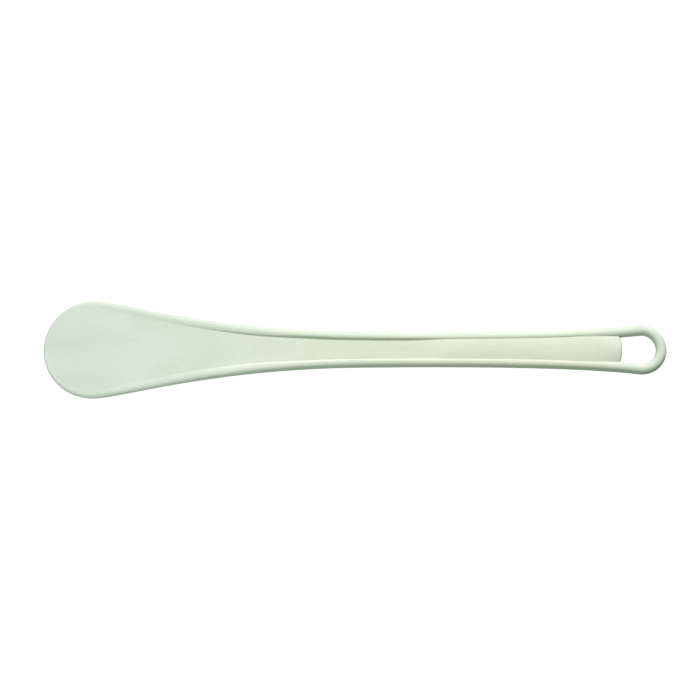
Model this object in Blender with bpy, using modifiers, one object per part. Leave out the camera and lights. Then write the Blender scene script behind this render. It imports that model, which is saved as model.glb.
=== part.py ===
"""A flat mixing spatula moulded in one piece: a round blade that runs on as a web of the same
thickness, a border that grows into a rod along both edges and on round the hang loop, and a crowned
grip filling the handle between the rods.

Metres, +Z up. The origin is under the middle of the box, +X runs from the blade to the loop, and the
object lies flat. Lengths along the object are counted from the blade's tip.
"""

import math

import bmesh
import bpy

OBJECT_NAME = "spatula"

# Driving sizes.
LENGTH = 0.300
ROD_RADIUS = 0.0025
HEAD_RADIUS = 0.024
LOOP_RADIUS = 0.0122
TIP_HALF_THICKNESS = 0.00045
TIP_EDGE_WIDTH = 0.0010
WEB_HALF_THICKNESS = 0.00135

# Stations along the object, from the tip.
WEDGE_END, ROD_START, ROD_FULL = 0.033, 0.044, 0.125
GRIP_START, GRIP_FULL, GRIP_END = 0.172, 0.200, 0.2786
NECK = 0.151

# The edge of the blade and handle: slopes and half-widths where its curves meet.
SHOULDER_TURN = math.radians(2.5)
FLARE_TURN = math.radians(7)
NECK_HALF_WIDTH = 0.00885
NECK_SLOPE = -0.013
FLANK_HANDLES = 0.0145, 0.070
FLARE_HANDLES = 0.044, 0.030

# The rods' steep inner side stands at most this far in from the edge, and leans this much.
POCKET_WALL, POCKET_LEAN = 0.0038, 0.00015
# The middle share of the grip's width is flat.
GRIP_FLAT = 0.25

# How far the grip's edge stays inside the rod's middle, where the grip starts and at its end.
GRIP_INSET, GRIP_END_INSET = 0.00145, 0.0017

# The tip is cut flat where the head is this deep, so that it ends in a narrow nose.
NOSE_DEPTH = 0.00014
# The loop's ends run this far into the handle's rods, and lie this far under their surface.
LOOP_OVERLAP, LOOP_INSET = 0.0015, 0.00004

# Steps in the mesh.
HEAD_STEPS, HANDLE_STEP = 9, 0.005
ARC_STEPS, FLOOR_STEPS = 6, 4
LOOP_STEPS, FLARE_STEPS = 20, 4
HALVINGS = 40
WELD, MIRROR_WELD = 0.000001, 0.00001

SHARP_ANGLE = math.radians(40)
PLASTIC, ROUGHNESS = (0.70, 0.79, 0.67, 1.0), 0.6


def smooth(value):
    """An S-curve from 0 to 1, flat at both ends."""
    value = min(1.0, max(0.0, value))
    return value * value * (3 - 2 * value)


def blend(start, end, x):
    """How far x has come from start to end, smoothed."""
    return smooth((x - start) / (end - start))


def edge_curves():
    """The two cubic curves of the edge, shoulder to neck and neck to loop, as (x, half-width)."""
    shoulder = (
        HEAD_RADIUS * (1 + math.sin(SHOULDER_TURN)),
        HEAD_RADIUS * math.cos(SHOULDER_TURN),
    )
    neck = (NECK, NECK_HALF_WIDTH)
    loop_centre = LENGTH - LOOP_RADIUS
    flare = (
        loop_centre - LOOP_RADIUS * math.sin(FLARE_TURN),
        LOOP_RADIUS * math.cos(FLARE_TURN),
    )
    shoulder_slope, flare_slope = -math.tan(SHOULDER_TURN), math.tan(FLARE_TURN)
    flank = (
        shoulder,
        along(shoulder, FLANK_HANDLES[0], shoulder_slope),
        along(neck, -FLANK_HANDLES[1], NECK_SLOPE),
        neck,
    )
    handle = (
        neck,
        along(neck, FLARE_HANDLES[0], NECK_SLOPE),
        along(flare, -FLARE_HANDLES[1], flare_slope),
        flare,
    )
    return flank, handle


def along(point, run, slope):
    return point[0] + run, point[1] + run * slope


def cubic(points, t):
    weights = (1 - t) ** 3, 3 * t * (1 - t) ** 2, 3 * t * t * (1 - t), t**3
    return tuple(sum(w * p[axis] for w, p in zip(weights, points)) for axis in (0, 1))


FLANK, HANDLE = edge_curves()


def half_width(x):
    """The object's half-width x from the tip, up to where the loop's circle starts."""
    if x < FLANK[0][0]:
        return math.sqrt(max(0.0, x * (2 * HEAD_RADIUS - x)))
    curve = FLANK if x < NECK else HANDLE
    low, high = 0.0, 1.0
    for _ in range(HALVINGS):
        middle = (low + high) / 2
        low, high = (middle, high) if cubic(curve, middle)[0] < x else (low, middle)
    return cubic(curve, low)[1]


def wedge(thin, full, x):
    """A value that rises from thin at the tip to full at the wedge's end, where it levels out."""
    return thin + (full - thin) * math.sin(math.pi / 2 * min(1.0, x / WEDGE_END))


def web_half_thickness(x):
    """Half the thickness of the blade and the web, which is even behind the thin tip."""
    return wedge(TIP_HALF_THICKNESS, WEB_HALF_THICKNESS, x)


def rod_half_thickness(x):
    """Flush with the blade at first, and a full rod from the neck on."""
    return web_half_thickness(x) + (ROD_RADIUS - WEB_HALF_THICKNESS) * blend(ROD_START, ROD_FULL, x)


def rod_turn(width, height, floor_edge, grip):
    """How far the rod's surface goes round: down to the floor, or to its steep inner side."""
    to_floor = math.pi - math.asin(min(1.0, floor_edge / height))
    wall = min(2 * width, POCKET_WALL + (2 * ROD_RADIUS - POCKET_WALL) * grip)
    return min(to_floor, math.acos(1 - wall / width))


def section(x):
    """A quarter of the cross-section, as (y, z) from the outer edge round to the middle."""
    width, height = wedge(TIP_EDGE_WIDTH, ROD_RADIUS, x), rod_half_thickness(x)
    rod_middle = half_width(x) - width
    grip = blend(GRIP_START, GRIP_FULL, x)
    inset = GRIP_INSET + (GRIP_END_INSET - GRIP_INSET) * blend(GRIP_FULL, GRIP_END, x)
    grip_edge = math.sqrt(ROD_RADIUS**2 - inset**2)
    floor_edge = web_half_thickness(x) * (1 - grip) + grip_edge * grip
    floor_middle = web_half_thickness(x) * (1 - grip) + ROD_RADIUS * grip
    turn = rod_turn(width, height, floor_edge, grip)
    points = []
    for step in range(ARC_STEPS + 1):
        angle = turn * step / ARC_STEPS
        points.append((rod_middle + width * math.cos(angle), height * math.sin(angle)))
    foot = points[-1][0] - POCKET_LEAN
    for step in range(FLOOR_STEPS + 1):
        share = 1 - step / FLOOR_STEPS
        curved = max(0.0, share - GRIP_FLAT) / (1 - GRIP_FLAT)
        height = floor_middle + (floor_edge - floor_middle) * curved**2
        points.append((foot * share, height))
    return points


def stations():
    """Cross-section places: close together round the tip, then even, with each change on one."""
    places = [0.0]
    for step in range(1, HEAD_STEPS):
        places.append(HEAD_RADIUS * (1 - math.cos(math.pi / 2 * step / HEAD_STEPS)))
    stops = (HEAD_RADIUS, WEDGE_END, ROD_START, ROD_FULL, GRIP_START, GRIP_FULL, GRIP_END)
    for start, end in zip(stops, stops[1:]):
        count = max(1, round((end - start) / HANDLE_STEP))
        places += [start + (end - start) * step / count for step in range(count)]
    return places + [GRIP_END]


def new_object(name, mesh, collection):
    made = bpy.data.objects.new(name, mesh)
    collection.objects.link(made)
    return made


def build_body(collection):
    """The blade, rods, web and grip as a quarter loft, mirrored across both middle planes."""
    bm = bmesh.new()
    rings = []
    for x in stations():
        ring = [bm.verts.new((x, y, z)) for y, z in section(max(x, NOSE_DEPTH))]
        ring.append(bm.verts.new((x, 0.0, 0.0)))
        rings.append(ring)
    for ring, following in zip(rings, rings[1:]):
        for index in range(len(ring) - 2):
            bm.faces.new((ring[index], following[index], following[index + 1], ring[index + 1]))
    bm.faces.new(rings[0])
    bm.faces.new(reversed(rings[-1]))
    mesh = bpy.data.meshes.new(OBJECT_NAME)
    bm.to_mesh(mesh)
    bm.free()
    body = new_object(OBJECT_NAME, mesh, collection)
    mirror = body.modifiers.new("both_sides", "MIRROR")
    mirror.use_axis = (False, True, True)
    mirror.merge_threshold = MIRROR_WELD
    return body


def loop_path():
    """The middle line of the rod round the hang loop, from one edge of the handle to the other."""
    start = GRIP_END - LOOP_OVERLAP
    side = []
    for step in range(FLARE_STEPS):
        x = start + (HANDLE[3][0] - start) * step / FLARE_STEPS
        turn = math.atan2(half_width(x + ROD_RADIUS) - half_width(x), ROD_RADIUS)
        middle_y = half_width(x) - ROD_RADIUS * math.cos(turn)
        side.append((x + ROD_RADIUS * math.sin(turn), middle_y))
    centre, radius = LENGTH - LOOP_RADIUS, LOOP_RADIUS - ROD_RADIUS
    first = math.pi / 2 + FLARE_TURN
    arc = []
    for step in range(LOOP_STEPS + 1):
        angle = first * (1 - 2 * step / LOOP_STEPS)
        arc.append((centre + radius * math.cos(angle), radius * math.sin(angle)))
    return side + arc + [(x, -y) for x, y in reversed(side)]


def build_loop(collection):
    """The hang loop: a round rod whose ends run a little way into the handle's rods."""
    path = loop_path()
    curve = bpy.data.curves.new("hang_loop", "CURVE")
    curve.dimensions = "3D"
    curve.bevel_depth = ROD_RADIUS
    curve.bevel_resolution = 2
    curve.use_fill_caps = True
    spline = curve.splines.new("POLY")
    spline.points.add(len(path) - 1)
    for point, (x, y) in zip(spline.points, path):
        point.co = (x, y, 0.0, 1.0)
    for end in (spline.points[0], spline.points[-1]):
        end.radius = 1 - LOOP_INSET / ROD_RADIUS
    guide = new_object("hang_loop_path", curve, collection)
    graph = bpy.context.evaluated_depsgraph_get()
    mesh = bpy.data.meshes.new_from_object(guide.evaluated_get(graph))
    bm = bmesh.new()
    bm.from_mesh(mesh)
    bmesh.ops.remove_doubles(bm, verts=bm.verts, dist=WELD)
    bmesh.ops.recalc_face_normals(bm, faces=bm.faces)
    bm.to_mesh(mesh)
    bm.free()
    loop = new_object("hang_loop", mesh, collection)
    loop.matrix_world = guide.matrix_world
    bpy.data.objects.remove(guide)
    loop.hide_render = True
    loop.display_type = "WIRE"
    return loop


def plastic():
    material = bpy.data.materials.new("plastic")
    material.use_nodes = True
    shader = material.node_tree.nodes["Principled BSDF"]
    shader.inputs["Base Color"].default_value = PLASTIC
    shader.inputs["Roughness"].default_value = ROUGHNESS
    return material


def main():
    for old in list(bpy.data.objects):
        bpy.data.objects.remove(old)
    parts = bpy.data.collections.new(OBJECT_NAME)
    helpers = bpy.data.collections.new("cutters")
    for collection in (parts, helpers):
        bpy.context.scene.collection.children.link(collection)

    frame = bpy.data.objects.new("frame", None)
    parts.objects.link(frame)
    frame.location = (-LENGTH / 2, 0.0, ROD_RADIUS)

    body = build_body(parts)
    loop = build_loop(helpers)
    for made in (body, loop):
        made.parent = frame
    union = body.modifiers.new("hang_loop", "BOOLEAN")
    union.operation = "UNION"
    union.solver = "EXACT"
    union.object = loop
    body.data.materials.append(plastic())
    body.data.shade_smooth()
    body.data.set_sharp_from_angle(angle=SHARP_ANGLE)


main()
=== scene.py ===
"""The look of the moulded spatula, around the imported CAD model. Metres, in the CAD's frame.

The surface is one quarter, above the parting plane and on one side of the long axis, mirrored twice.
Its points start on simple grids and are then drawn onto a smooth solid: a rod along the edge, joined
with a soft fillet to the blade, web and grip. Places along the object are counted from the blade's tip.
"""

import math

import bmesh
import bpy
import numpy as np
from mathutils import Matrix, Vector


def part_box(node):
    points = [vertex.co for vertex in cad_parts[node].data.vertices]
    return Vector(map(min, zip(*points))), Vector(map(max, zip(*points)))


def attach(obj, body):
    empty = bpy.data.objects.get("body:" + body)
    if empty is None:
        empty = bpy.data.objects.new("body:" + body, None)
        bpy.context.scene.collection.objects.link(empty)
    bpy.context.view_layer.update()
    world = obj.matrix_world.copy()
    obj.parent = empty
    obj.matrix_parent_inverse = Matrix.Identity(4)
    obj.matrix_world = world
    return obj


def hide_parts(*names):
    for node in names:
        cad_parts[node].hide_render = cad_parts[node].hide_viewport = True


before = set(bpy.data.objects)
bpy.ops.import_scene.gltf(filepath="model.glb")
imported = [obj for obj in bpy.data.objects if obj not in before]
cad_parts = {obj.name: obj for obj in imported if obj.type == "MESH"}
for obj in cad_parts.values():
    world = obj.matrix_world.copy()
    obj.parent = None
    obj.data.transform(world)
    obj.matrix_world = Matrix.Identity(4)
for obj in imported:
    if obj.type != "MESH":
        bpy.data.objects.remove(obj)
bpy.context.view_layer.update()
low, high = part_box("spatula")

# Driving sizes, from the frame.
LENGTH = high.x - low.x
HEAD_RADIUS = (high.y - low.y) / 2
ROD_RADIUS = (high.z - low.z) / 2
TIP, MIDDLE_Z = low.x, (low.z + high.z) / 2

# The rest of the outline: half-widths, slopes and the lengths of its curves' handles.
LOOP_RADIUS = 0.0122
NECK, NECK_HALF_WIDTH, NECK_SLOPE = 0.151, 0.00885, -0.013
SHOULDER_TURN, FLARE_TURN = math.radians(2.5), math.radians(7)
FLANK_HANDLES, FLARE_HANDLES = (0.0145, 0.070), (0.044, 0.030)

# Half the rod's width in plan: narrow at the tip, and broader round the loop.
TIP_ROD_WIDTH, TIP_ROD_END = 0.0010, 0.030
LOOP_ROD_WIDTH, LOOP_ROD_START, LOOP_ROD_FULL = 0.00262, 0.262, 0.288

# Heights over the parting plane, and the places where they change.
TIP_EDGE, WEDGE_END, WEB_HALF_THICKNESS = 0.00045, 0.033, 0.00135
BORDER_RISE, BORDER_START, BORDER_FULL = 0.00014, 0.024, 0.040
ROD_START, ROD_FULL = 0.044, 0.125
GRIP_START, GRIP_FULL, GRIP_LATE, GRIP_END = 0.172, 0.200, 0.264, 0.2786

# The grip's edge where it is full, late along it and at its end.
GRIP_INSETS = (0.00120, 0.00148, 0.00205)
GRIP_EDGE_HEIGHTS = (0.00209, 0.00204, 0.00140)

# The rod's steep inner side: how far in it stands at the blade and from the neck on, and where it ends.
BLADE_WALL, POCKET_WALL, WALL_NEARS, WALL_NEAR = 0.0047, 0.0035, 0.096, 0.131
POCKET_DRAFT, POCKET_EDGE = math.tan(math.radians(4)), 0.0003
WALL_LEAVES, WALL_GONE = 0.258, 0.272
INNER_SPREAD, SPREAD_START, SPREAD_FULL = 0.0009, 0.026, 0.050

# Fillets and roundings.
WEB_FILLET, GRIP_FILLET, END_FILLET = 0.0002, 0.0002, 0.0008
FILLET_PER_DEPTH, END_FILLET_RUN = 1.8, 0.003
GRIP_END_ROUNDING, GRIP_BOW = 0.0018, 0.0009
GRIP_CORNER, GRIP_CORNER_LENGTH = 0.0003, 0.0010
RIM_RUN_IN = 0.004

# The fine ridge along the parting line: its height, and the turns where the mesh makes room for it.
PARTING_RIDGE, RIDGE_SHOULDERS = 0.00003, (0.014, 0.035)

# The mesh's grids.
CURVE_STEPS, OUTLINE_STEP = 400, 0.0002
ROW_STEP, LOOP_STEP, FINE_STEP = 0.0013, 0.0006, 0.00028
FINE_RUN, FINE_LOOP_RUN, BEND_RUN = 0.0035, 0.002, 0.004
CROWN_COLUMNS, FLANK_COLUMNS, FILLET_COLUMNS, FLOOR_COLUMNS, WALL_ROWS = 10, 5, 8, 14, 10
LEAST_FLANK, FILLET_SPREAD, SPREAD_BEFORE = 0.0009, 0.0007, 0.6
FRONT_TURN, FRONT_FADE = math.radians(45), 0.035
CORNER_REACH, CORNER_ROUNDS = 0.0022, 15

# How points are drawn onto the solid.
PROJECTIONS, NUDGE, LEAST_STEEPNESS, BATCH = 8, 0.000002, 0.1, 2000


def smooth(value):
    value = np.clip(value, 0.0, 1.0)
    return value * value * (3 - 2 * value)


def ramp(start, end, x):
    return smooth((x - start) / (end - start))


# ---------------------------------------------------------------- the outline, tip to loop end


def cubic(start, start_run, start_slope, end, end_run, end_slope):
    """Points on a cubic curve that leaves start and reaches end with those slopes."""
    start, end = np.array(start), np.array(end)
    leave = start + start_run * np.array((1, start_slope))
    reach = end - end_run * np.array((1, end_slope))
    t = np.linspace(0, 1, CURVE_STEPS)[:, None]
    return (1 - t) ** 3 * start + 3 * t * (1 - t) ** 2 * leave + 3 * t * t * (1 - t) * reach + t**3 * end


def arc(centre_x, radius, first, last):
    """Points on a circle centred on the long axis, by the angle from +X."""
    angle = np.linspace(first, last, CURVE_STEPS)
    return np.stack([centre_x + radius * np.cos(angle), radius * np.sin(angle)], axis=1)


def draw_outline():
    """The edge on the +Y side, at even steps: places, points, tangents, inward normals and bends."""
    head = arc(HEAD_RADIUS, HEAD_RADIUS, math.pi, math.pi / 2 - SHOULDER_TURN)
    loop = arc(LENGTH - LOOP_RADIUS, LOOP_RADIUS, math.pi / 2 + FLARE_TURN, 0.0)
    neck = (NECK, NECK_HALF_WIDTH)
    shoulder_slope, flare_slope = -math.tan(SHOULDER_TURN), math.tan(FLARE_TURN)
    flank = cubic(head[-1], FLANK_HANDLES[0], shoulder_slope, neck, FLANK_HANDLES[1], NECK_SLOPE)
    handle = cubic(neck, FLARE_HANDLES[0], NECK_SLOPE, loop[0], FLARE_HANDLES[1], flare_slope)
    points = np.concatenate([head, flank[1:], handle[1:], loop[1:]])
    place = np.concatenate([[0], np.cumsum(np.hypot(*np.diff(points, axis=0).T))])
    even = np.linspace(0, place[-1], round(place[-1] / OUTLINE_STEP))
    points = np.stack([np.interp(even, place, points[:, axis]) for axis in (0, 1)], axis=1)
    tangents = np.gradient(points, even, axis=0)
    tangents[0], tangents[-1] = (0, 1), (0, -1)
    tangents /= np.linalg.norm(tangents, axis=1)[:, None]
    normals = np.stack([tangents[:, 1], -tangents[:, 0]], axis=1)
    turn = np.unwrap(np.arctan2(tangents[:, 1], tangents[:, 0]))
    return even, points, tangents, normals, -np.gradient(turn, even)


PLACES, OUTLINE, TANGENTS, NORMALS, BENDS = draw_outline()


def at(values, place):
    return np.interp(place, PLACES, values)


def outline_at(place):
    """Outline points and inward normals at these places along it."""
    points = np.stack([at(OUTLINE[:, axis], place) for axis in (0, 1)], axis=-1)
    normals = np.stack([at(NORMALS[:, axis], place) for axis in (0, 1)], axis=-1)
    return points, normals / np.linalg.norm(normals, axis=-1, keepdims=True)


# ---------------------------------------------------------------- the solid


def wedge(thin, full, end, x):
    """A value that rises from thin at the tip to full, where it levels out."""
    return thin + (full - thin) * np.sin(math.pi / 2 * np.clip(x / end, 0, 1))


def web_height(x):
    """Half the thickness of the blade and web, which is even behind the thin tip."""
    return wedge(TIP_EDGE, WEB_HALF_THICKNESS, WEDGE_END, x)


def edge_height(x):
    """Half the thickness of the edge: flush with the blade at first, and a full rod from the neck on."""
    border = BORDER_RISE * ramp(BORDER_START, BORDER_FULL, x)
    rod = (ROD_RADIUS - WEB_HALF_THICKNESS - BORDER_RISE) * ramp(ROD_START, ROD_FULL, x)
    return web_height(x) + border + rod


def rod_width(x):
    """Half the rod's width in plan."""
    loop_part = (LOOP_ROD_WIDTH - ROD_RADIUS) * ramp(LOOP_ROD_START, LOOP_ROD_FULL, x)
    return wedge(TIP_ROD_WIDTH, ROD_RADIUS, TIP_ROD_END, x) + loop_part


def inner_width(x):
    """The rod's half-width in plan on its inner side, which is broader where it borders the blade."""
    border = ramp(SPREAD_START, SPREAD_FULL, x) * (1 - ramp(WALL_NEARS, WALL_NEAR, x))
    return rod_width(x) + INNER_SPREAD * border


def half_width(x):
    """The object's half-width on the stretch before the loop's circle."""
    rising = OUTLINE[:, 0] < LENGTH - LOOP_RADIUS
    return np.interp(x, OUTLINE[rising, 0], OUTLINE[rising, 1])


def pocket_wall(x, z):
    """How far in from the edge the rod's steep inner side stands; on the loop it is clear of the rod."""
    wall = BLADE_WALL + (POCKET_WALL - BLADE_WALL) * ramp(WALL_NEARS, WALL_NEAR, x)
    on_grip = (ROD_RADIUS + GRIP_INSETS[0] - wall) * ramp(GRIP_START, GRIP_FULL, x)
    draft = (ROD_RADIUS - np.abs(z)) * POCKET_DRAFT
    clear = ramp(WALL_LEAVES, WALL_GONE, x) * ROD_RADIUS
    return wall + on_grip + draft + clear


def in_turn(values, x):
    """Goes smoothly along the grip from the first value to the second, and near its end to the third."""
    first, second, third = values
    share, late = ramp(GRIP_FULL, GRIP_LATE, x), ramp(GRIP_LATE, GRIP_END, x)
    return first + (second - first) * share + (third - second) * late


def grip_inset(x):
    """How far inside the rod's middle the grip meets it."""
    return in_turn(GRIP_INSETS, x)


def grip_edge(x):
    """Where the grip meets the rod: its half-width and its height there."""
    return half_width(x) - ROD_RADIUS - grip_inset(x), in_turn(GRIP_EDGE_HEIGHTS, x)


def floor_height(x, y):
    """Height of the blade, web and crowned grip, without the rods."""
    grip = ramp(GRIP_START, GRIP_FULL, x)
    edge_y, edge_z = grip_edge(x)
    crown = ROD_RADIUS - (ROD_RADIUS - edge_z) * (y / edge_y) ** 2
    return web_height(x) * (1 - grip) + crown * grip


def wall_x(y):
    """The grip's end: slightly bowed, with rounded corners where it nears the rods."""
    side = half_width(GRIP_END) - 2 * ROD_RADIUS
    into_corner = np.clip((np.abs(y) - side + GRIP_CORNER) / GRIP_CORNER, 0, 1)
    corner = GRIP_CORNER_LENGTH * (1 - np.sqrt(1 - into_corner**2))
    return GRIP_END - corner - GRIP_BOW * (y / side) ** 2


def fillet(x):
    """How far the fillet between rod and floor reaches: none where they are flush."""
    depth = edge_height(x) - web_height(x)
    grip = ramp(GRIP_START, GRIP_FULL, x)
    end = ramp(GRIP_END - END_FILLET_RUN, GRIP_END, x)
    on_web = np.minimum(WEB_FILLET, FILLET_PER_DEPTH * depth)
    on_grip = GRIP_FILLET * (1 - end) + END_FILLET * end
    return np.maximum(on_web * (1 - grip) + on_grip * grip, NUDGE)


def nearest_frames(points):
    """For each point, the index of the outline sample nearest to it."""
    found = np.empty(len(points), int)
    for start in range(0, len(points), BATCH):
        part = points[start : start + BATCH, None, :2] - OUTLINE[None]
        found[start : start + BATCH] = np.argmin((part**2).sum(axis=2), axis=1)
    return found


def solid_distance(points, near):
    """Signed distance to the solid, below 0 inside, with each point's nearest outline sample."""
    x, y, z = points.T
    offset = points[:, :2] - OUTLINE[near]
    slide = (offset * TANGENTS[near]).sum(axis=1)
    inward = (offset * NORMALS[near]).sum(axis=1) - BENDS[near] * slide**2 / 2
    edge_x = OUTLINE[near, 0]
    width, height = rod_width(edge_x), edge_height(edge_x)
    side = np.where(inward > width, inner_width(edge_x), width)
    rod = (np.hypot((inward - width) / side, z / height) - 1) * height
    pocket = inward - pocket_wall(x, z)
    overlap = np.maximum(POCKET_EDGE - np.abs(rod - pocket), 0) / POCKET_EDGE
    rod = np.maximum(rod, pocket) + overlap**2 * POCKET_EDGE / 4
    floor = floor_height(x, y)
    above = np.maximum(floor - height, 0)
    floor = floor - above * (1 - ramp(0.0, RIM_RUN_IN, inward - width))
    top = np.abs(z) - floor + GRIP_END_ROUNDING
    end = x - wall_x(y) + GRIP_END_ROUNDING
    rounded = np.hypot(np.maximum(top, 0), np.maximum(end, 0))
    plate = rounded + np.minimum(np.maximum(top, end), 0) - GRIP_END_ROUNDING
    plate = np.maximum(plate, width - inward)
    reach = fillet(x)
    overlap = np.maximum(reach - np.abs(rod - plate), 0) / reach
    return np.minimum(rod, plate) - overlap**2 * reach / 4


def draw_onto_solid(points):
    """Moves points along the solid's gradient until they lie on its surface."""
    near = nearest_frames(points)
    on_axis, on_plane = np.abs(points[:, 1]) < NUDGE, np.abs(points[:, 2]) < NUDGE
    for _ in range(PROJECTIONS):
        gradient = np.empty_like(points)
        for axis in range(3):
            step = np.zeros(3)
            step[axis] = NUDGE
            ahead, behind = solid_distance(points + step, near), solid_distance(points - step, near)
            gradient[:, axis] = (ahead - behind) / (2 * NUDGE)
        gradient[on_axis, 1] = 0
        gradient[on_plane, 2] = 0
        steepness = np.maximum((gradient**2).sum(axis=1), LEAST_STEEPNESS)
        points = points - (solid_distance(points, near) / steepness)[:, None] * gradient
    points[on_axis, 1] = 0
    points[on_plane, 2] = 0
    return points


# ---------------------------------------------------------------- the grids


def link_mesh(name, bm):
    """Turns a bmesh into an object in the scene."""
    mesh = bpy.data.meshes.new(name)
    bm.to_mesh(mesh)
    bm.free()
    made = bpy.data.objects.new(name, mesh)
    bpy.context.scene.collection.objects.link(made)
    return made


def row_places():
    """Places of the cross rows along the outline, closing up before the grip's end."""
    corner_place = HEAD_RADIUS * FRONT_TURN
    front = np.linspace(0, corner_place, FLOOR_COLUMNS + 1)
    valley = column_offsets(GRIP_END)[VALLEY]
    reached = OUTLINE[:, 0] + valley * NORMALS[:, 0]
    wall_place = np.interp(wall_x(half_width(GRIP_END) - valley), reached, PLACES)
    fine_start = wall_place - FINE_RUN
    long_rows = np.linspace(corner_place, fine_start, round((fine_start - corner_place) / ROW_STEP))
    fine_rows = np.linspace(fine_start, wall_place, round(FINE_RUN / FINE_STEP))
    return np.concatenate([front, long_rows[1:], fine_rows[1:]])


def column_offsets(x):
    """Inward offsets of the rim's columns at outline place x: crown, inner flank, then the fillet."""
    width, height = rod_width(x), edge_height(x)
    turns = np.concatenate([[0.0], RIDGE_SHOULDERS, np.linspace(0, math.pi / 2, CROWN_COLUMNS + 1)[1:]])
    outer = width * (1 - np.cos(turns))
    grip = ramp(GRIP_START, GRIP_FULL, x)
    low_side = inner_width(x) * np.sqrt(max(1 - min(web_height(x) / height, 1) ** 2, 0))
    low_side = min(low_side, pocket_wall(x, web_height(x)) - width)
    flank = max(low_side * (1 - grip) + grip_inset(x) * grip, LEAST_FLANK)
    inner = width + np.linspace(0, flank - FILLET_SPREAD * SPREAD_BEFORE, FLANK_COLUMNS + 1)[1:]
    valley = width + flank + np.linspace(-SPREAD_BEFORE, 1.0, FILLET_COLUMNS + 1)[1:] * FILLET_SPREAD
    return np.concatenate([outer, inner, valley])


RIM_COLUMNS = len(column_offsets(NECK))
VALLEY = RIM_COLUMNS - 1 - round(FILLET_COLUMNS / (1 + SPREAD_BEFORE))


def rim_grid(places):
    """The rim: rows across the outline, columns from the parting line in past the fillet."""
    points, normals = outline_at(places)
    grid = np.empty((len(places), RIM_COLUMNS, 3))
    for row, (point, normal) in enumerate(zip(points, normals)):
        offsets = column_offsets(point[0])
        grid[row, :, :2] = point + offsets[:, None] * normal
        width, height = rod_width(point[0]), edge_height(point[0])
        round_part = np.sqrt(np.clip(1 - (offsets / width - 1) ** 2, 0, 1)) * height
        flat_part = floor_height(grid[row, :, 0], grid[row, :, 1])
        grid[row, :, 2] = np.where(offsets < width, round_part, np.maximum(round_part, flat_part))
    pull = ramp(GRIP_END - BEND_RUN, GRIP_END, points[:, 0])[:, None]
    beyond = grid[:, VALLEY:, :]
    pull = pull / max(pull[-1, 0], NUDGE)
    beyond[:, :, 0] += pull * (wall_x(beyond[:, :, 1]) - grid[-1, VALLEY:, 0])
    return grid


def floor_grid(rim):
    """The blade, web and grip between the rim and the long axis; its first row runs along the rim."""
    front = rim[: FLOOR_COLUMNS + 1, -1][::-1]
    side = rim[FLOOR_COLUMNS:, -1]
    share = np.linspace(0, 1, FLOOR_COLUMNS + 1)
    set_back = front[-1, 0] - front[0, 0]
    fade = 1 - ramp(side[0, 0], side[0, 0] + FRONT_FADE, side[:, 0])
    axis_x = side[:, 0] + set_back * fade
    near_wall = ramp(GRIP_END - BEND_RUN, side[-1, 0], side[:, 0])
    axis_x += near_wall * (wall_x(0.0) - axis_x[-1])
    grid = np.zeros((len(side), FLOOR_COLUMNS + 1, 3))
    grid[:, :, 0] = side[:, :1] * (1 - share) + axis_x[:, None] * share
    grid[:, :, 1] = side[:, 1:2] * (1 - share)
    straight = front[:1] * (1 - share[:, None]) + front[-1:] * share[:, None]
    grid[:, :, :2] += (fade[:, None, None] * (front - straight)[None])[:, :, :2]
    bend = wall_x(grid[-1, :, 1]) - grid[-1, :, 0]
    grid[:, :, 0] += near_wall[:, None] * bend
    grid[:, :, 2] = floor_height(grid[:, :, 0], grid[:, :, 1])
    grid[0] = front
    grid[:, 0] = side
    return grid


def loop_grid(rim, last_place):
    """The rod round the hang loop, from the grip's end to the far point of the loop."""
    length = PLACES[-1] - last_place
    fine = np.arange(0, FINE_LOOP_RUN, FINE_STEP)
    rest = np.linspace(FINE_LOOP_RUN, length, round((length - FINE_LOOP_RUN) / LOOP_STEP))
    places = last_place + np.concatenate([fine, rest])
    points, normals = outline_at(places)
    normals[-1] = (-1, 0)
    points[-1] = (LENGTH, 0)
    offsets = column_offsets(points[0, 0])[: VALLEY + 1] / rod_width(points[0, 0])
    turns = np.arccos(1 - offsets)
    turns = np.concatenate([turns, np.linspace(turns[-1], math.pi, WALL_ROWS + 1)[1:]])
    width, height = rod_width(points[:, 0]), edge_height(points[:, 0])
    grid = np.empty((len(places), len(turns), 3))
    inward = width[:, None] * (1 - np.cos(turns))
    grid[:, :, :2] = points[:, None] + inward[:, :, None] * normals[:, None]
    grid[:, :, 2] = height[:, None] * np.sin(turns)
    grid[:, -1, 2] = 0
    grid[0, : VALLEY + 1] = rim[-1, : VALLEY + 1]
    return grid


def wall_grid(rim, floor, loop):
    """The grip's end face, from its top edge down to the parting plane."""
    top = np.concatenate([rim[-1, VALLEY:], floor[-1, 1:]])
    side = loop[0, VALLEY:]
    across = top[:, 1] / top[0, 1]
    grid = np.empty((len(side), len(top), 3))
    grid[:, :, 1] = side[:, 1:2] * across
    grid[:, :, 2] = (side[:, 2:] / side[0, 2]) * top[:, 2]
    grid[:, :, 0] = wall_x(grid[:, :, 1])
    grid[0], grid[:, 0] = top, side
    return grid


def add_grid(bm, grid):
    verts = [[bm.verts.new(point) for point in row] for row in grid]
    for row, following in zip(verts, verts[1:]):
        for index in range(len(row) - 1):
            bm.faces.new((row[index], row[index + 1], following[index + 1], following[index]))


def raise_parting_line(rim, loop, places):
    """Lifts the points on the parting line outward, so that they stand in a fine ridge."""
    ridge = PARTING_RIDGE * edge_height(rim[:, 0, 0]) / ROD_RADIUS
    rim[:, 0, :2] -= outline_at(places)[1] * ridge[:, None]
    outward = loop[:, 0, :2] - loop[:, 1, :2]
    loop[:, 0, :2] += PARTING_RIDGE * outward / np.linalg.norm(outward, axis=1)[:, None]


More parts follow.
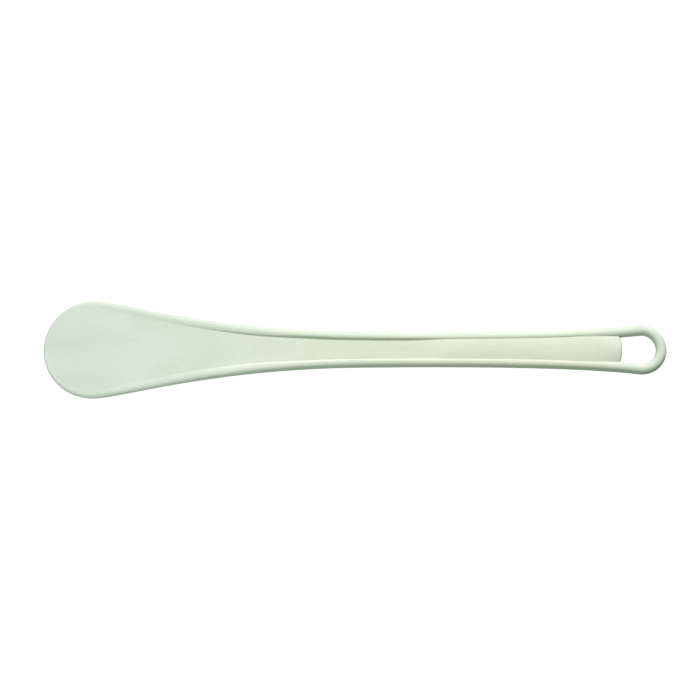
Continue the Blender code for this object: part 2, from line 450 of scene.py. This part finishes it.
def relax_corner(bm):
    """Evens out the mesh where the grip's end meets the rod, and keeps it on the solid."""
    centre = Vector((GRIP_END, *grip_edge(GRIP_END)))
    verts = [v for v in bm.verts if (v.co - centre).length < CORNER_REACH]
    around = [[e.other_vert(v) for e in v.link_edges] for v in verts]
    for index, vert in enumerate(verts):
        if vert.co.z < NUDGE:
            around[index] = [v for v in around[index] if v.co.z < NUDGE]
    for _ in range(CORNER_ROUNDS):
        middles = [sum((v.co for v in near), Vector()) / len(near) for near in around]
        for vert, place in zip(verts, draw_onto_solid(np.array(middles))):
            vert.co = place


def draw_grids():
    """The four grids of one quarter, drawn onto the solid."""
    places = row_places()
    rim = rim_grid(places)
    floor = floor_grid(rim)
    loop = loop_grid(rim, places[-1])
    wall = wall_grid(rim, floor, loop)
    grids = (rim, floor, loop, wall)
    drawn = [draw_onto_solid(grid.reshape(-1, 3)).reshape(grid.shape) for grid in grids]
    raise_parting_line(drawn[0], drawn[2], places)
    return drawn


def build_surface():
    """The moulding's whole surface: one quarter, mirrored across the long axis and the parting plane."""
    bm = bmesh.new()
    for grid in draw_grids():
        add_grid(bm, grid)
    bmesh.ops.remove_doubles(bm, verts=bm.verts, dist=NUDGE)
    relax_corner(bm)
    bmesh.ops.recalc_face_normals(bm, faces=bm.faces)
    surface = link_mesh("spatula_moulding", bm)
    surface.data.shade_smooth()
    surface.location = (TIP, 0.0, MIDDLE_Z)
    mirror = surface.modifiers.new("both_sides", "MIRROR")
    mirror.use_axis = (False, True, True)
    mirror.merge_threshold = NUDGE
    return surface


# ---------------------------------------------------------------- the plastic


def node(tree, kind, inputs=(), **settings):
    """A new node with its settings and input values or links."""
    made = tree.nodes.new(kind)
    for name, value in settings.items():
        setattr(made, name, value)
    for socket, value in dict(inputs).items():
        if isinstance(value, bpy.types.NodeSocket):
            tree.links.new(value, made.inputs[socket])
        else:
            made.inputs[socket].default_value = value
    return made


def stretched_noise(tree, place, stretch, scale, detail=2.0, rough=0.5, turn=0.0):
    """Noise that is drawn out along the axes whose stretch is small."""
    mapping = {"Vector": place, "Scale": stretch, "Rotation": (0, 0, turn)}
    moved = node(tree, "ShaderNodeMapping", mapping).outputs[0]
    inputs = {"Vector": moved, "Scale": scale, "Detail": detail, "Roughness": rough}
    return node(tree, "ShaderNodeTexNoise", inputs).outputs["Fac"]


def banded(tree, value, band, outcome):
    """Maps the band of values onto the outcome's two ends, and clamps what lies outside it."""
    inputs = {0: value, 1: band[0], 2: band[1], 3: outcome[0], 4: outcome[1]}
    return node(tree, "ShaderNodeMapRange", inputs).outputs[0]


def mixed(tree, share, first, second, mode="MIX"):
    """A mix of two colours."""
    inputs = {0: share, 6: first, 7: second}
    return node(tree, "ShaderNodeMix", inputs, data_type="RGBA", blend_type=mode).outputs[2]


def bump(tree, height, distance, strength, under=None):
    inputs = {"Height": height, "Distance": distance, "Strength": strength}
    if under is not None:
        inputs["Normal"] = under
    return node(tree, "ShaderNodeBump", inputs).outputs[0]


# Base colours, and the tints that multiply them along the moulding; the loop's tint is painted shade.
PLASTIC, PLASTIC_PALE = (0.645, 0.725, 0.60, 1.0), (0.695, 0.775, 0.655, 1.0)
FIBRE = (0.80, 0.86, 0.78, 1.0)
BLADE_TINT, GRIP_TINT = (0.94, 0.975, 0.985, 1.0), (1.0, 1.0, 0.95, 1.0)
# Painted shade: the loop's colour is made darker and a little greener.
LOOP_PAINTED_SHADE = (0.89, 0.925, 0.90, 1.0)
BLADE_TO_GRIP, GRIP_TO_LOOP = (0.0, 0.19), (0.258, 0.284)

# Noises: scales, stretches, and the bands of their values that show.
CLOUD_SCALE, CLOUD_STRETCH, CLOUD_DETAIL, CLOUD_BAND = 30, (1, 2, 2), 4, (0.35, 0.65)
FIBRE_SCALE, FIBRE_STRETCH, FIBRE_DETAIL, FIBRE_BAND = 190, (1, 14, 14), 3, (0.58, 0.72)
FIBRE_SHARE, FIBRE_HARSHNESS = 0.5, 0.6
PATCH_SCALE, PATCH_DETAIL, PATCH_BAND, ROUGHNESS = 90, 5, (0.3, 0.7), (0.58, 0.70)
SCUFF_SCALE, SCUFF_STRETCH, SCUFF_DETAIL, SCUFF_BAND = 60, (1, 40, 1), 3, (0.58, 0.68)
SCUFF_TURN, SCUFF_SHINE = math.radians(24), 0.16
PEEL_SCALE, PEEL_DEPTH, PEEL_STRENGTH = 420, 0.00006, 0.4
GRAIN_SCALE, GRAIN_DEPTH, GRAIN_STRENGTH = 2400, 0.00002, 0.8
EVEN, ALL = (1, 1, 1), (0, 1)

GLOSS = {"IOR": 1.5, "Specular IOR Level": 0.27}
DEPTH = {"Subsurface Weight": 0.12, "Subsurface Radius": (0.9, 1.0, 0.8), "Subsurface Scale": 0.0006}


def tinted_with_loop_shade(tree, place, colour):
    """A slow change of tint, cooler at the blade and warmer at the grip, with painted shade that darkens
    the loop.
    """
    along = node(tree, "ShaderNodeSeparateXYZ", {0: place}).outputs[0]
    on_handle = mixed(tree, banded(tree, along, BLADE_TO_GRIP, ALL), BLADE_TINT, GRIP_TINT)
    # Painted shade darkens the colour from the grip's end round the loop.
    tint_and_shade = mixed(tree, banded(tree, along, GRIP_TO_LOOP, ALL), on_handle, LOOP_PAINTED_SHADE)
    return mixed(tree, 1.0, colour, tint_and_shade, "MULTIPLY")


def plastic_colour(tree, place):
    """Cloudy tint with fine pale fibres along the flow, and painted shade that darkens the loop."""
    clouds = stretched_noise(tree, place, CLOUD_STRETCH, CLOUD_SCALE, detail=CLOUD_DETAIL)
    cloudy = mixed(tree, banded(tree, clouds, CLOUD_BAND, ALL), PLASTIC, PLASTIC_PALE)
    streaks = stretched_noise(
        tree, place, FIBRE_STRETCH, FIBRE_SCALE, detail=FIBRE_DETAIL, rough=FIBRE_HARSHNESS
    )
    fibres = banded(tree, streaks, FIBRE_BAND, (0, FIBRE_SHARE))
    return tinted_with_loop_shade(tree, place, mixed(tree, fibres, cloudy, FIBRE))


def plastic_roughness(tree, place):
    """Satin patches, with light scuffs that are a little shinier."""
    patches = stretched_noise(tree, place, EVEN, PATCH_SCALE, detail=PATCH_DETAIL)
    satin = banded(tree, patches, PATCH_BAND, ROUGHNESS)
    strokes = stretched_noise(
        tree, place, SCUFF_STRETCH, SCUFF_SCALE, detail=SCUFF_DETAIL, turn=SCUFF_TURN
    )
    scuffs = banded(tree, strokes, SCUFF_BAND, (0, SCUFF_SHINE))
    return node(tree, "ShaderNodeMath", {0: satin, 1: scuffs}, operation="SUBTRACT").outputs[0]


def plastic_bump(tree, place):
    """Slight unevenness, with a fine moulded grain over it."""
    peel = stretched_noise(tree, place, EVEN, PEEL_SCALE)
    grain = stretched_noise(tree, place, EVEN, GRAIN_SCALE)
    uneven = bump(tree, peel, PEEL_DEPTH, PEEL_STRENGTH)
    return bump(tree, grain, GRAIN_DEPTH, GRAIN_STRENGTH, under=uneven)


def make_plastic():
    """Pale, slightly translucent plastic."""
    material = bpy.data.materials.new("pale_filled_plastic")
    material.use_nodes = True
    tree = material.node_tree
    shader = tree.nodes["Principled BSDF"]
    place = node(tree, "ShaderNodeTexCoord").outputs["Object"]
    tree.links.new(plastic_colour(tree, place), shader.inputs["Base Color"])
    tree.links.new(plastic_roughness(tree, place), shader.inputs["Roughness"])
    tree.links.new(plastic_bump(tree, place), shader.inputs["Normal"])
    for socket, value in {**GLOSS, **DEPTH}.items():
        shader.inputs[socket].default_value = value
    return material


# ---------------------------------------------------------------- stage, light and camera

FLOOR_SIZE, FLOOR_SEGMENTS, FLOOR_GAP = 4.0, 8, 0.0001
FLOOR_LOOK = {
    "Base Color": (0.25, 0.25, 0.25, 1.0),
    "Roughness": 0.9,
    "Specular IOR Level": 0.1,
    "Emission Color": (1.0, 1.0, 1.0, 1.0),
    "Emission Strength": 0.96,
}
AMBIENT, AMBIENT_COLOUR = 0.228, (0.79, 1.0, 0.83, 1.0)
KEY_PLACE, KEY_TARGET, KEY_SIZE, KEY_ENERGY = (0.20, 0.79, 0.72), (0.06, 0, 0), (0.7, 0.35), 15.25
KEY_COLOUR = (1.0, 0.92, 0.985)
FILL_PLACE, FILL_TARGET, FILL_SIZE, FILL_ENERGY = (-0.30, -0.39, 0.20), (-0.10, 0, 0), (0.3, 0.2), 0.80
CAMERA_ELEVATION, CAMERA_LENS, SENSOR, CLIP = math.radians(77.5), 135.0, 36.0, (0.01, 20)
VIEW_WIDTH, VIEW_CENTRE = 0.3371, (-0.00247, -0.00012)


def build_floor():
    """A pale floor that glows a little and sends no light onto the moulding."""
    bm = bmesh.new()
    bmesh.ops.create_grid(bm, x_segments=FLOOR_SEGMENTS, y_segments=FLOOR_SEGMENTS, size=FLOOR_SIZE / 2)
    floor = link_mesh("floor", bm)
    floor.location = (0, 0, low.z - FLOOR_GAP)
    material = bpy.data.materials.new("pale_floor")
    material.use_nodes = True
    shader = material.node_tree.nodes["Principled BSDF"]
    for socket, value in FLOOR_LOOK.items():
        shader.inputs[socket].default_value = value
    floor.data.materials.append(material)
    floor.visible_diffuse = False
    floor.visible_glossy = False


def place_facing(thing, place, target):
    """Puts a camera or lamp at place, facing target."""
    thing.location = place
    thing.rotation_euler = (Vector(target) - Vector(place)).to_track_quat("-Z", "Y").to_euler()


def add_softbox(name, place, target, size, energy, colour=(1, 1, 1)):
    data = bpy.data.lights.new(name, "AREA")
    data.shape = "RECTANGLE"
    data.size, data.size_y = size
    data.energy = energy
    data.color = colour
    softbox = bpy.data.objects.new(name, data)
    bpy.context.scene.collection.objects.link(softbox)
    place_facing(softbox, place, target)


def build_light():
    """A large soft lamp behind the moulding, a weak one before the blade, and an even ambient light."""
    world = bpy.data.worlds.new("studio")
    bpy.context.scene.world = world
    world.use_nodes = True
    background = world.node_tree.nodes["Background"]
    background.inputs["Color"].default_value = AMBIENT_COLOUR
    background.inputs["Strength"].default_value = AMBIENT
    add_softbox("key_softbox", KEY_PLACE, KEY_TARGET, KEY_SIZE, KEY_ENERGY, KEY_COLOUR)
    add_softbox("fill_softbox", FILL_PLACE, FILL_TARGET, FILL_SIZE, FILL_ENERGY)


def build_camera():
    """A long lens that looks at the moulding from the near side, steeply down."""
    data = bpy.data.cameras.new("camera")
    data.lens, data.sensor_width = CAMERA_LENS, SENSOR
    data.clip_start, data.clip_end = CLIP
    camera = bpy.data.objects.new("camera", data)
    bpy.context.scene.collection.objects.link(camera)
    distance = VIEW_WIDTH * CAMERA_LENS / SENSOR
    centre = Vector((*VIEW_CENTRE, MIDDLE_Z))
    direction = Vector((0, -math.cos(CAMERA_ELEVATION), math.sin(CAMERA_ELEVATION)))
    place_facing(camera, centre + direction * distance, centre)
    bpy.context.scene.camera = camera


# ---------------------------------------------------------------- put together

build_camera()
build_light()
build_floor()
moulding = build_surface()
moulding.data.materials.append(make_plastic())
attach(moulding, "root")
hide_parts("spatula")
bpy.context.scene.view_settings.view_transform = "Standard"
